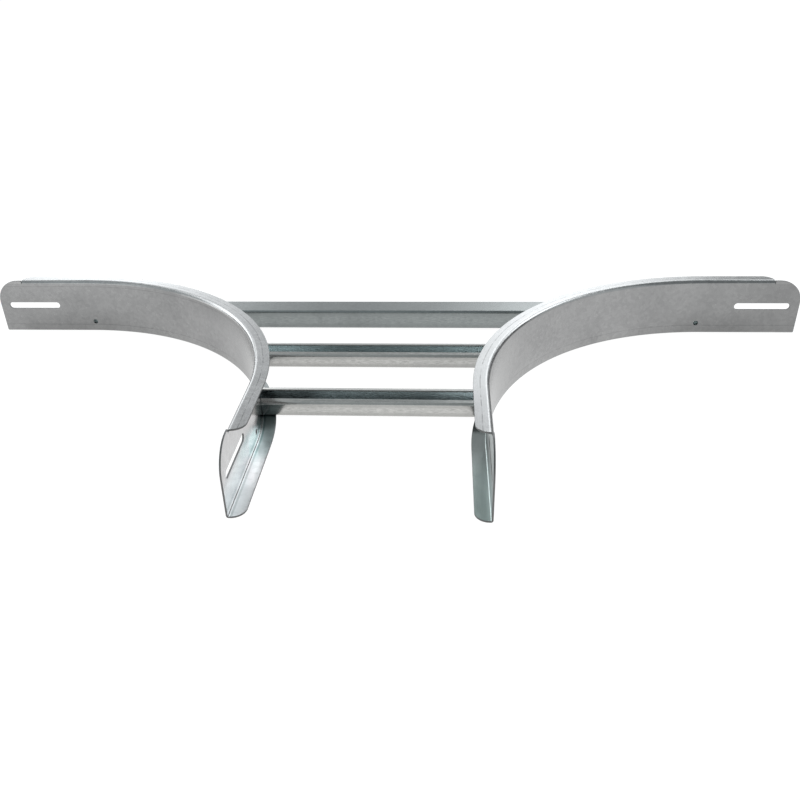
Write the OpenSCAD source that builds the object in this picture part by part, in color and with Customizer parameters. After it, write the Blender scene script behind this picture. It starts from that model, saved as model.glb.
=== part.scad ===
// Cable ladder tee: two bent side rails of folded sheet, tied by three roll-formed rungs.
// The branch end faces -Y, the wide mouth with its two tips faces +Y. Sizes in millimetres.

/* [Rails] */
// Width of the branch, over the outer faces of the two rails
branch_w = 200; // [150:10:500]
// Radius of the outer face of each rail's bend
bend_r = 240; // [220:10:500]
// Straight length of a rail at each end of its bend
straight_l = 100; // [90:5:200]
// Height of the rails
rail_h = 60; // [54:2:110]
// Width of the top and bottom flanges, over the web
flange_w = 14; // [12:1:24]
// Sheet thickness of the rails
sheet_t = 1.5; // [1:0.25:2]
// Outer radius of the fold between web and top flange
fold_r = 3.5; // [2:0.25:4.5]
// Outer radius of the fold between web and bottom flange, which is sharper
foot_r = 2; // [1.75:0.25:2.25]

/* [Rail ends] */
// Length over which the top flange is cut away at each end
flange_cut = 30; // [20:1:40]
// Radius of the web's top corner at each end
web_corner_r = 25; // [10:1:30]
// Radius of the flanges' free corners
flange_corner_r = 11; // [4:0.5:11]
// Length of the joint slot in the web, end to end
slot_l = 58; // [30:1:60]
// Width of the joint slot
slot_w = 7; // [5:0.5:11]
// Height of the slot's middle above the underside
slot_z = 31; // [24:1:34]
// Distance from the rail's end to the slot
slot_inset = 10; // [6:1:20]
// Diameter of the small hole at each end of the bend
hole_d = 5; // [3:0.5:8]
// Height of the small hole above the underside
hole_z = 11.5; // [9:0.5:14]
// Distance from the start of the bend to the small hole, inside the bend
hole_inset = 5.5; // [4.5:0.5:12]

/* [Rungs] */
// Width of the rungs
rung_w = 30; // [24:1:41]
// Height of the front and middle rung
rung_h = 15; // [10:1:22]
// Height of the rear rung, which spans the mouth
rear_rung_h = 21; // [14:1:30]
// Width of the lips beside a rung's open slot
rung_lip = 6.5; // [4:0.5:9]
// Sheet thickness of the rungs
rung_t = 1.5; // [1:0.25:2]
// Outer radius of the rungs' corners
rung_corner_r = 2.5; // [2.25:0.25:3.5]
// Distance from one rung to the next
rung_pitch = 98; // [60:2:105]
// Clearance between the coped ends of the rungs and the inner faces of the webs
rung_gap = 1; // [0.75:0.25:3]
// Clearance between the rear rung and the inner faces of the webs
rear_gap = 3.5; // [1:0.25:6]
// Length by which the rear rung reaches past each bend, along the tip
rear_reach = 20; // [10:1:30]

/* [Hidden] */
$fn = 96;

// Allowance by which a cutter runs past the face that it cuts
over = 1;
// Middle of each bend, as seen from the middle of the branch end
bend_x = branch_w / 2 + bend_r;
bend_y = straight_l;
// Radius from the middle of the bend to the coped ends of the rungs
seat_r = bend_r + sheet_t + rung_gap;
// Near faces of the three rungs, measured from the branch end
rear_y = bend_y + bend_r + sheet_t + rear_gap;
middle_y = rear_y - rung_pitch;
front_y = middle_y - rung_pitch;
// Overall depth, from the branch end to the back of the rear rung
depth = rear_y + rung_w;

// Moves a piece from the branch end to the middle of the overall box
module placed() {
    translate([0, -depth / 2, 0]) children();
}

// Outline whose two corners at x = 0 are round
module folded_outline(w, h, low_r, high_r) {
    translate([0, low_r]) square([w, h - low_r - high_r]);
    translate([low_r, 0]) square([w - low_r, h / 2]);
    translate([high_r, h / 2]) square([w - high_r, h / 2]);
    translate([low_r, low_r]) circle(low_r);
    translate([high_r, h - high_r]) circle(high_r);
}

// Outline whose four corners are round
module rounded_outline(w, h, r) {
    translate([r, 0]) square([w - 2 * r, h]);
    translate([0, r]) square([w, h - 2 * r]);
    for (x = [r, w - r], y = [r, h - r])
        translate([x, y]) circle(r);
}

// Section of a rail: x runs from the web's outer face to the free edges, y is up
module rail_section() {
    difference() {
        folded_outline(flange_w, rail_h, foot_r, fold_r);
        translate([sheet_t, sheet_t])
            folded_outline(flange_w, rail_h - 2 * sheet_t, foot_r - sheet_t, fold_r - sheet_t);
    }
}

// Section of a rail's end, where the top flange is cut away and the web stands plain
module end_section() {
    intersection() {
        rail_section();
        square([flange_w, rail_h / 2]);
    }
    translate([0, rail_h / 2]) square([sheet_t, rail_h / 2]);
}

// What is cut off a square corner at the origin to leave it round
module corner_waste(r) {
    difference() {
        translate([-over, -over]) square(r + over);
        translate([r, r]) circle(r);
    }
}

// Slot through the web, lying along y
module web_slot(length, width) {
    for (y = [width / 2, length - width / 2])
        translate([-over, y, 0]) rotate([0, 90, 0]) cylinder(h = sheet_t + 2 * over, d = width);
    translate([-over, width / 2, -width / 2]) cube([sheet_t + 2 * over, length - width, width]);
}

// Straight end of a rail, from its free end at y = 0 to the bend, with the web's outer face at x = 0
module rail_end() {
    difference() {
        union() {
            translate([0, straight_l, 0]) rotate([90, 0, 0])
                linear_extrude(straight_l - flange_cut) rail_section();
            translate([0, flange_cut, 0]) rotate([90, 0, 0])
                linear_extrude(flange_cut) end_section();
        }
        // Round the free corners of the bottom flange, the top flange and the web
        translate([flange_w, 0, -over]) mirror([1, 0, 0])
            linear_extrude(sheet_t + 2 * over) corner_waste(flange_corner_r);
        translate([flange_w, flange_cut, rail_h - sheet_t - over]) mirror([1, 0, 0])
            linear_extrude(sheet_t + 2 * over) corner_waste(flange_corner_r);
        translate([-over, 0, rail_h]) rotate([0, 90, 0])
            linear_extrude(sheet_t + 2 * over) corner_waste(web_corner_r);
        // Cut the joint slot
        translate([0, slot_inset, slot_z]) web_slot(slot_l, slot_w);
    }
}

// Swaps x and y, which carries one end of a rail to the other end
module other_end() {
    rotate([0, 0, 90]) mirror([0, 1, 0]) children();
}

// What is cut out of the web for the small hole, seen from the middle of the bend
module small_hole() {
    translate([bend_r - over, hole_inset, hole_z]) rotate([0, 90, 0])
        cylinder(h = sheet_t + 2 * over, d = hole_d);
}

// Rail about the middle of its bend: one end points to -Y, the other to -X
module rail() {
    difference() {
        union() {
            translate([bend_r, -straight_l, 0]) rail_end();
            rotate_extrude(angle = 90) translate([bend_r, 0]) rail_section();
            other_end() translate([bend_r, -straight_l, 0]) rail_end();
        }
        small_hole();
        other_end() small_hole();
    }
}

// Section of a rung: open at the top between two lips, closed at the bottom
module rung_section(h) {
    difference() {
        rounded_outline(rung_w, h, rung_corner_r);
        translate([rung_t, rung_t])
            rounded_outline(rung_w - 2 * rung_t, h - 2 * rung_t, rung_corner_r - rung_t);
        translate([rung_lip, h / 2]) square([rung_w - 2 * rung_lip, h]);
    }
}

// Rung along X, from one end to the other, with its near face at y = 0
module rung_bar(half_l, h) {
    translate([-half_l, 0, 0]) rotate([90, 0, 90])
        linear_extrude(2 * half_l) rung_section(h);
}

// Space that the rails and their clearance take from a rung
module rail_space() {
    for (side = [-1, 1])
        translate([side * bend_x, bend_y, 0]) cylinder(h = rail_h, r = seat_r);
}

// Short rung between the two bends, coped to their curve
module coped_rung(y) {
    difference() {
        translate([0, y, sheet_t]) rung_bar(bend_x, rung_h);
        rail_space();
    }
}

module left_rail() {
    color([0.72, 0.74, 0.75]) placed() translate([-bend_x, bend_y, 0]) rail();
}

module right_rail() {
    color([0.72, 0.74, 0.75]) placed() mirror([1, 0, 0]) translate([-bend_x, bend_y, 0]) rail();
}

module front_rung() {
    color([0.66, 0.67, 0.66]) placed() coped_rung(front_y);
}

module middle_rung() {
    color([0.66, 0.67, 0.66]) placed() coped_rung(middle_y);
}

// The rear rung lies with its closed side up and rests with its lips on the tips' bottom flanges
module rear_rung() {
    color([0.56, 0.59, 0.59]) placed()
        translate([0, rear_y, sheet_t + rear_rung_h]) mirror([0, 0, 1])
            rung_bar(bend_x + rear_reach, rear_rung_h);
}

left_rail();
right_rail();
front_rung();
middle_rung();
rear_rung();
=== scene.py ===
"""Looks of a cable ladder tee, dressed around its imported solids.

Two side rails are folded and bent from flat blanks by one kind of node tree, and three rungs
are roll-formed by another. Lengths are in metres, in the part's own frame: the branch end
faces -Y, the wide mouth with its two tips faces +Y.
"""

import logging
import math
from abc import ABC, abstractmethod
from dataclasses import dataclass, replace
from enum import Enum
from functools import cache
from itertools import accumulate
from typing import Iterable, Mapping, Optional, Sequence, Union

import bmesh
import bpy
from mathutils import Matrix, Vector
from mathutils.geometry import delaunay_2d_cdt


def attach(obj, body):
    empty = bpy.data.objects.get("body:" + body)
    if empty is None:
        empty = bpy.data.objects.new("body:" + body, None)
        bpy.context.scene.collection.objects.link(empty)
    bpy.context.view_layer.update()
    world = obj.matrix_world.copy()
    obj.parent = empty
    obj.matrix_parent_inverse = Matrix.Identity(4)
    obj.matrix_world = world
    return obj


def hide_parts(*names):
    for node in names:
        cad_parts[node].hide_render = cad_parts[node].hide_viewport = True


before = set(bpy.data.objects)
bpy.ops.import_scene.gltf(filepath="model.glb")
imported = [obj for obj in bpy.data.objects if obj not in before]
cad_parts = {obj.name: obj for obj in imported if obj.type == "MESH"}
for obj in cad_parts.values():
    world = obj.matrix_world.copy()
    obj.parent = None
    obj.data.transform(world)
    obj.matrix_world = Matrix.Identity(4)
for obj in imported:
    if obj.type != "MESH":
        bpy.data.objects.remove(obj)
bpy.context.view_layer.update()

LOG = logging.getLogger("tee")
BODY = "root"
# Names of the attributes that a formed sheet carries: its place on the flat blank, its cut faces
SHEET = "sheet"
EDGE = "cut_edge"
MM = 0.001
QUARTER = math.pi / 2

# Sizes that several pieces share, in millimetres
BRANCH_W = 200
BEND_R = 240
STRAIGHT_L = 100
RAIL_T = 1.5
RUNG_W = 30
RUNG_PITCH = 98
SEAT_GAP = 0.3
REAR_GAP = 3.5
REAR_REACH = 20
BEND_X = BRANCH_W / 2 + BEND_R
REAR_Y = STRAIGHT_L + BEND_R + RAIL_T + REAR_GAP
DEPTH = (REAR_Y + RUNG_W) * MM

# A place across that lies past the edge of any sheet
WIDE = 1.0
# A span that ends before every piece starts, so that a shade on it is full all over
EVERYWHERE = (-2.0, -1.0)
# Width of a rim that has no feather
HARD_RIM = 1e-6

Point = tuple[float, float]
Triple = tuple[float, float, float]
Socket = bpy.types.NodeSocket
Feed = Union["Number", Socket, bpy.types.Material, str, float, Sequence[float]]
Feeds = Mapping[Union[str, int], Feed]


class Side(Enum):
    """Which side of the branch a rail is on, with the sign of its x."""

    LEFT = -1
    RIGHT = 1


class OpenSide(Enum):
    """Which way a rung's slot faces."""

    UP = 1
    DOWN = -1


class Run(Enum):
    """What a shade grows along: the length of the sheet, or the part's X."""

    SHEET = "sheet"
    X = "x"


def arc(middle: Point, radius: float, start: float, end: float, steps: int) -> list[Point]:
    """Points on an arc, from a first to a last angle in degrees, both ends included."""
    angles = [math.radians(start + (end - start) * i / steps) for i in range(steps + 1)]
    return [(middle[0] + radius * math.cos(a), middle[1] + radius * math.sin(a)) for a in angles]


def spread(low: float, high: float, steps: int) -> list[float]:
    """Even steps from low to high, both included."""
    return [low + (high - low) * i / steps for i in range(steps + 1)]


def toward(turn: float, rise: float) -> Vector:
    """Direction at an azimuth from +Y toward +X and an elevation, in degrees."""
    turn, rise = math.radians(turn), math.radians(rise)
    return Vector((math.sin(turn) * math.cos(rise), math.cos(turn) * math.cos(rise),
                   math.sin(rise)))


def in_scene(name: str, data: bpy.types.ID) -> bpy.types.Object:
    """Put new data into the scene.

    Args:
        name: Name of its object.
        data: The mesh, light or camera.

    Returns:
        The object.
    """
    made = bpy.data.objects.new(name, data)
    bpy.context.scene.collection.objects.link(made)
    return made


@dataclass(frozen=True)
class Number:
    """A number in a node tree. Plain arithmetic on it adds Math nodes to the tree."""

    pen: "NodePen"
    socket: Socket

    def __add__(self, other: Feed) -> "Number":
        """The sum."""
        return self.pen.math("ADD", self, other)

    def __sub__(self, other: Feed) -> "Number":
        """The difference."""
        return self.pen.math("SUBTRACT", self, other)

    def __rsub__(self, other: Feed) -> "Number":
        """The difference from a plain number."""
        return self.pen.math("SUBTRACT", other, self)

    def __mul__(self, other: Feed) -> "Number":
        """The product."""
        return self.pen.math("MULTIPLY", self, other)

    def __truediv__(self, other: Feed) -> "Number":
        """The quotient."""
        return self.pen.math("DIVIDE", self, other)


class NodePen:
    """Adds nodes to one tree and joins them."""

    def __init__(self, tree: bpy.types.NodeTree) -> None:
        """Keep the tree to draw in."""
        self.tree = tree

    def add(self, kind: str, feeds: Optional[Feeds] = None, **settings: object) -> bpy.types.Node:
        """Add a node.

        Args:
            kind: The node's type name.
            feeds: What goes into its inputs, by their names or places.
            settings: Properties to set on it.

        Returns:
            The new node.
        """
        node = self.tree.nodes.new(kind)
        for name, value in settings.items():
            setattr(node, name, value)
        for key, value in (feeds or {}).items():
            self.feed(node.inputs[key], value)
        return node

    def feed(self, socket: Socket, value: Feed) -> None:
        """Link a socket's source, or set its value.

        Args:
            socket: The input to feed.
            value: Another node's output, or a plain value.
        """
        source = value.socket if isinstance(value, Number) else value
        if isinstance(source, Socket):
            self.tree.links.new(source, socket)
        else:
            socket.default_value = source

    def math(self, operation: str, *terms: Feed) -> Number:
        """The result of a Math node on those terms."""
        node = self.add("ShaderNodeMath", dict(enumerate(terms)), operation=operation)
        return Number(self, node.outputs[0])

    def vector_math(self, operation: str, *terms: Feed) -> Socket:
        """The result of a Vector Math node on those terms."""
        feeds = dict(enumerate(terms))
        return self.add("ShaderNodeVectorMath", feeds, operation=operation).outputs[0]

    def vector(self, x: Feed = 0.0, y: Feed = 0.0, z: Feed = 0.0) -> Socket:
        """Three numbers joined into a vector."""
        return self.add("ShaderNodeCombineXYZ", {0: x, 1: y, 2: z}).outputs[0]

    def split(self, vector: Socket) -> list[Number]:
        """The x, y and z of a vector."""
        node = self.add("ShaderNodeSeparateXYZ", {0: vector})
        return [Number(self, part) for part in node.outputs]

    def remap(self, value: Feed, source: Point, target: Point, smooth: bool = False) -> Number:
        """Map a number from one range to another, clamped.

        Args:
            value: The number.
            source: Range that it comes in.
            target: Range that it goes out in.
            smooth: Whether to ease at both ends.

        Returns:
            The mapped number.
        """
        node = self.add("ShaderNodeMapRange", dict(enumerate((value, *source, *target))),
                        clamp=True, interpolation_type="SMOOTHSTEP" if smooth else "LINEAR")
        return Number(self, node.outputs[0])

    def noise(self, place: Socket, scale: float, detail: float, rough: float) -> Number:
        """A cloud of noise, about 0 to 1, with its octaves and the weight of the finer ones."""
        feeds = {"Vector": place, "Scale": scale, "Detail": detail, "Roughness": rough}
        return Number(self, self.add("ShaderNodeTexNoise", feeds).outputs["Fac"])

    def stretched_noise(self, sheet: Socket, scale: Point, rough: float) -> Number:
        """A cloud of noise with scales of its own along and across a sheet."""
        place = self.vector_math("MULTIPLY", sheet, (*scale, 0.0))
        return self.noise(place, 1.0, detail=2, rough=rough)


def emptied(owner: Union[bpy.types.Material, bpy.types.World]) -> NodePen:
    """Clear the node tree of a material or world.

    Args:
        owner: The material or world.

    Returns:
        The pen of its tree.
    """
    owner.use_nodes = True
    owner.node_tree.nodes.clear()
    return NodePen(owner.node_tree)


@dataclass(frozen=True)
class Dress:
    """Materials of a formed sheet: outside and inside of its section, and cut edges."""

    outside: bpy.types.Material
    inside: bpy.types.Material
    edge: bpy.types.Material


class FormingTree(NodePen):
    """A geometry tree that folds a flat blank along a profile.

    The blank's x runs along the strip, y across it, and z through its thickness, 0 at the
    middle of the sheet.
    """

    FOLD_STEPS = 14
    BEND_STEPS = 180
    SHARP_ANGLE = math.radians(32)

    def __init__(self, name: str, sizes: dict[str, float]) -> None:
        """Open the tree with its named size inputs.

        Args:
            name: The tree's name.
            sizes: Input names with their lengths or numbers.
        """
        super().__init__(bpy.data.node_groups.new(name, "GeometryNodeTree"))
        face = self.tree.interface
        face.new_socket("Geometry", in_out="OUTPUT", socket_type="NodeSocketGeometry")
        face.new_socket("Blank", in_out="INPUT", socket_type="NodeSocketGeometry")
        self.sizes = dict(sizes)
        self.identifiers: dict[str, str] = {}
        for label in sizes:
            socket = face.new_socket(label, in_out="INPUT", socket_type="NodeSocketFloat")
            self.identifiers[label] = socket.identifier
        self.entry = self.add("NodeGroupInput")
        place = self.add("GeometryNodeInputPosition").outputs[0]
        self.along, self.across, self.through = self.split(place)

    def size(self, label: str) -> Number:
        """The input of that name."""
        return Number(self, self.entry.outputs[label])

    def by_index(self, kind: str, values: Sequence[Feed]) -> Socket:
        """Give each point of a line the value at its own place in a list.

        Args:
            kind: Data type of the values.
            values: One value for each point.

        Returns:
            The field of values.
        """
        pick = self.add("GeometryNodeIndexSwitch", data_type=kind)
        while len(pick.index_switch_items) < len(values):
            pick.index_switch_items.new()
        index = self.add("GeometryNodeInputIndex").outputs[0]
        for socket, value in zip(pick.inputs, (index, *values)):
            self.feed(socket, value)
        return pick.outputs[0]

    def polyline(self, points: Sequence[tuple[Feed, Feed]], radii: Sequence[Feed],
                 steps: int) -> Socket:
        """Draw an open line with round corners.

        Args:
            points: The line's corners, in the plane of the profile or path.
            radii: Radius at each of them; the first and the last have no effect.
            steps: Points on each round corner.

        Returns:
            The curve.
        """
        line = self.add("GeometryNodeMeshLine", {"Count": len(points)})
        move = self.add("GeometryNodeSetPosition", {
            "Geometry": line.outputs[0],
            "Position": self.by_index("VECTOR", [self.vector(*point) for point in points])})
        curve = self.add("GeometryNodeMeshToCurve", {0: move.outputs[0]})
        fillet = self.add("GeometryNodeFilletCurve", {
            "Curve": curve.outputs[0], "Count": steps,
            "Radius": self.by_index("FLOAT", radii)}, mode="POLY")
        return fillet.outputs[0]

    def sample(self, curve: Socket, length: Feed) -> tuple[Socket, Socket]:
        """The place at a length along a curve, and the curve's direction there."""
        node = self.add("GeometryNodeSampleCurve", {"Curves": curve, "Length": length},
                        mode="LENGTH")
        return node.outputs["Position"], node.outputs["Tangent"]

    def fold(self, profile: Socket) -> tuple[Number, Number]:
        """Wrap the blank's width and thickness around a profile.

        Args:
            profile: The curve of the sheet's middle.

        Returns:
            The two coordinates in the plane of the profile.
        """
        place, way = self.sample(profile, self.across)
        out, up, _ = self.split(place)
        way_out, way_up, _ = self.split(way)
        return out - self.through * way_up, up + self.through * way_out

    def close(self, place: Socket, flip: Feed, dress: Dress) -> None:
        """Move the blank into shape, give it its finishes and end the tree.

        Args:
            place: Where each point goes.
            flip: Whether the shape is mirrored.
            dress: Materials of the sheet's faces and cut edges.
        """
        keep = self.add("GeometryNodeStoreNamedAttribute", {
            "Geometry": self.entry.outputs["Blank"], "Name": SHEET,
            "Value": self.vector(self.along, self.across, self.through)},
            data_type="FLOAT_VECTOR", domain="POINT")
        move = self.add("GeometryNodeSetPosition",
                        {"Geometry": keep.outputs[0], "Position": place})
        turn = self.add("GeometryNodeFlipFaces", {"Mesh": move.outputs[0], "Selection": flip})
        real = self.add("GeometryNodeRealizeInstances", {"Geometry": turn.outputs[0]})
        sheet = self.add("GeometryNodeInputNamedAttribute", {"Name": SHEET},
                         data_type="FLOAT_VECTOR")
        inner = self.math("GREATER_THAN", self.split(sheet.outputs["Attribute"])[2], 0.0)
        cut = self.add("GeometryNodeInputNamedAttribute", {"Name": EDGE}, data_type="BOOLEAN")
        last = real.outputs[0]
        for chosen, material in ((True, dress.outside), (inner, dress.inside),
                                 (cut.outputs["Attribute"], dress.edge)):
            coat = self.add("GeometryNodeSetMaterial", {
                "Geometry": last, "Selection": chosen, "Material": material})
            last = coat.outputs[0]
        self.add("NodeGroupOutput", {"Geometry": last})

    def form(self, name: str, blank: bpy.types.Mesh) -> bpy.types.Object:
        """Run the tree on a blank.

        Args:
            name: Name of the finished piece.
            blank: The flat blank.

        Returns:
            The piece, as a plain mesh at the origin.
        """
        piece = in_scene(name, blank)
        modifier = piece.modifiers.new("forming", "NODES")
        modifier.node_group = self.tree
        for label, value in self.sizes.items():
            modifier[self.identifiers[label]] = value
        graph = bpy.context.evaluated_depsgraph_get()
        shaped = bpy.data.meshes.new_from_object(
            piece.evaluated_get(graph), preserve_all_data_layers=True, depsgraph=graph)
        piece.modifiers.clear()
        piece.data = shaped
        shaped.name = name
        bpy.data.meshes.remove(blank)
        for polygon in shaped.polygons:
            polygon.use_smooth = True
        shaped.set_sharp_from_angle(angle=self.SHARP_ANGLE)
        return piece


@dataclass
class FlatBlank:
    """A flat piece of sheet with cut-outs, as a closed slab with broken edges."""

    name: str
    thickness: float
    broken_edge: float

    # Least share of a mitre, so that a sharp corner of a loop doesn't move too far
    LEAST_MITRE = 0.3
    # Room that a dividing point keeps from the rims: a share of its step along, a length across
    ROOM_ALONG = 0.45
    ROOM_ACROSS = 0.25 * MM
    SAME_PLACE = 1e-8

    def inset(self, loop: Sequence[Point]) -> list[Point]:
        """Move a closed loop to its left by the width of the broken edge.

        Args:
            loop: Points of the loop.

        Returns:
            The moved points.
        """
        moved = []
        count = len(loop)
        for i, here in enumerate(loop):
            before, after = Vector(loop[i - 1]), Vector(loop[(i + 1) % count])
            ways = [(Vector(here) - before).normalized(), (after - Vector(here)).normalized()]
            sides = [Vector((-way.y, way.x)) for way in ways]
            both = sides[0] + sides[1]
            mitre = max(self.LEAST_MITRE, 1 + sides[0].dot(sides[1]))
            step = both * (self.broken_edge / mitre)
            moved.append((here[0] + step.x, here[1] + step.y))
        return moved

    @staticmethod
    def inside(point: Point, loop: Sequence[Point]) -> bool:
        """Tell whether a point lies in a closed loop.

        Args:
            point: The point.
            loop: Points of the loop.

        Returns:
            True if it does.
        """
        hit = False
        for (ax, ay), (bx, by) in zip(loop, [*loop[1:], loop[0]]):
            if (ay > point[1]) != (by > point[1]):
                hit ^= point[0] < (bx - ax) * (point[1] - ay) / (by - ay) + ax
        return hit

    def on_sheet(self, point: Point, rims: Sequence[Sequence[Point]]) -> bool:
        """Whether a point lies in the first rim and in none of the others."""
        return (self.inside(point, rims[0])
                and not any(self.inside(point, hole) for hole in rims[1:]))

    @staticmethod
    def clear(point: Point, loop: Sequence[Point], room: Point) -> bool:
        """Whether no point of a loop is in the room, along and across, around a point."""
        return all(((point[0] - x) / room[0]) ** 2 + ((point[1] - y) / room[1]) ** 2 > 1
                   for x, y in loop)

    def mesh(self, outline: Sequence[Point], holes: Sequence[Sequence[Point]],
             stations: Sequence[float], rows: Sequence[float]) -> bpy.types.Mesh:
        """Build the slab.

        Args:
            outline: Its outer loop, counter-clockwise.
            holes: Loops of its cut-outs, clockwise.
            stations: Places along it where the faces are divided.
            rows: Places across it where the faces are divided.

        Returns:
            A closed mesh whose cut edges carry a face attribute.
        """
        loops = [list(outline), *[list(hole) for hole in holes]]
        rims = [self.inset(loop) for loop in loops]
        near = [point for rim in rims for point in rim]
        points = [Vector(point) for point in near]
        edges = []
        start = 0
        for rim in rims:
            edges += [(start + i, start + (i + 1) % len(rim)) for i in range(len(rim))]
            start += len(rim)
        for i, along in enumerate(stations):
            step = min(abs(along - other) for j, other in enumerate(stations) if j != i)
            close = [point for point in near if abs(point[0] - along) < step]
            room = (self.ROOM_ALONG * step, self.ROOM_ACROSS)
            for across in rows:
                spot = (along, across)
                if self.on_sheet(spot, rims) and self.clear(spot, close, room):
                    points.append(Vector(spot))
        flat, _, faces, *_ = delaunay_2d_cdt(points, edges, [], 0, self.SAME_PLACE, False)
        kept = []
        for face in faces:
            middle = sum((flat[i] for i in face), Vector((0, 0))) / len(face)
            if self.on_sheet((middle.x, middle.y), rims):
                kept.append(face)
        return self.slab(flat, kept, loops, rims)

    def slab(self, flat: Sequence[Vector], faces: Iterable[Sequence[int]],
             loops: Sequence[Sequence[Point]], rims: Sequence[Sequence[Point]]) -> bpy.types.Mesh:
        """Close two flat faces into a slab.

        Args:
            flat: Points of the face, the rims' points first.
            faces: Its faces.
            loops: The nominal loops.
            rims: The loops at the faces, inside the broken edges.

        Returns:
            The closed mesh.
        """
        half = self.thickness / 2
        shape = bmesh.new()
        used = sorted({i for face in faces for i in face})
        sheets = []
        for height in (half, -half):
            sheets.append({i: shape.verts.new((*flat[i], height)) for i in used})
        for sheet in sheets:
            for face in faces:
                shape.faces.new([sheet[i] for i in face])
        mark = shape.faces.layers.bool.new(EDGE)
        start = 0
        for loop, rim in zip(loops, rims):
            bands = [[sheets[0][start + i] for i in range(len(rim))]]
            for height in (half - self.broken_edge, self.broken_edge - half):
                bands.append([shape.verts.new((x, y, height)) for x, y in loop])
            bands.append([sheets[1][start + i] for i in range(len(rim))])
            for upper, lower in zip(bands, bands[1:]):
                for i in range(len(rim)):
                    j = (i + 1) % len(rim)
                    wall = shape.faces.new((upper[i], upper[j], lower[j], lower[i]))
                    wall[mark] = True
            start += len(rim)
        bmesh.ops.recalc_face_normals(shape, faces=shape.faces)
        mesh = bpy.data.meshes.new(self.name + "_blank")
        shape.to_mesh(mesh)
        shape.free()
        return mesh


@dataclass(frozen=True)
class RollOrPaintedLine:
    """A line along a sheet, for the roll marks and for the painted shade and highlights in the
    inner folds.

    It has a place across, half a width, a depth, which is below 0 for a lighter line, and the
    share of that depth that is lost where the line is broken.
    """

    middle: float
    half: float
    depth: float
    breaks: float

    # Share of the half width that has the full depth
    CORE = 0.3

    def mark(self, pen: NodePen, across: Number) -> Number:
        """How much an unbroken line darkens a place."""
        away = pen.math("ABSOLUTE", across - self.middle)
        return pen.remap(away, (self.CORE * self.half, self.half), (self.depth, 0.0), True)


@dataclass(frozen=True)
class Shade:
    """A slow band across a sheet, which grows over a span of its run: painted shade, and painted
    light where its depth is below 0.

    Its depth is below 0 for a lighter band. It can also make the band matt, up to the roughness
    that it names. Its feather is the width of the soft rim at each side of the band, and its
    tint weighs the depth by colour.
    """

    run: Run
    span: Point
    band: Point
    depth: float = 0.0
    rough: float = 0.0
    feather: Point = (0.0, 0.0)
    tint: Triple = (1.0, 1.0, 1.0)

    def grown(self, pen: NodePen, run: Number, across: Number) -> Number:
        """Work out how full the shade is.

        Args:
            pen: The tree's pen.
            run: Place along its run.
            across: Place across the sheet.

        Returns:
            A share from 0 to 1.
        """
        (low, high), (first, last) = self.band, self.feather
        past_low = pen.remap(across, (low, low + first + HARD_RIM), (0.0, 1.0), True)
        before_high = pen.remap(across, (high - last - HARD_RIM, high), (1.0, 0.0), True)
        return pen.remap(run, self.span, (0.0, 1.0), True) * (past_low * before_high)


def stretch(rise: Point, fall: Point, band: Point, depth: float, **soft: object) -> list[Shade]:
    """A band of painted shade, painted light for a depth below 0, that grows over one span of the
    sheet's length, and another that takes it back.
    """
    return [Shade(Run.SHEET, rise, band, depth, **soft),
            Shade(Run.SHEET, fall, band, -depth, **soft)]


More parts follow.
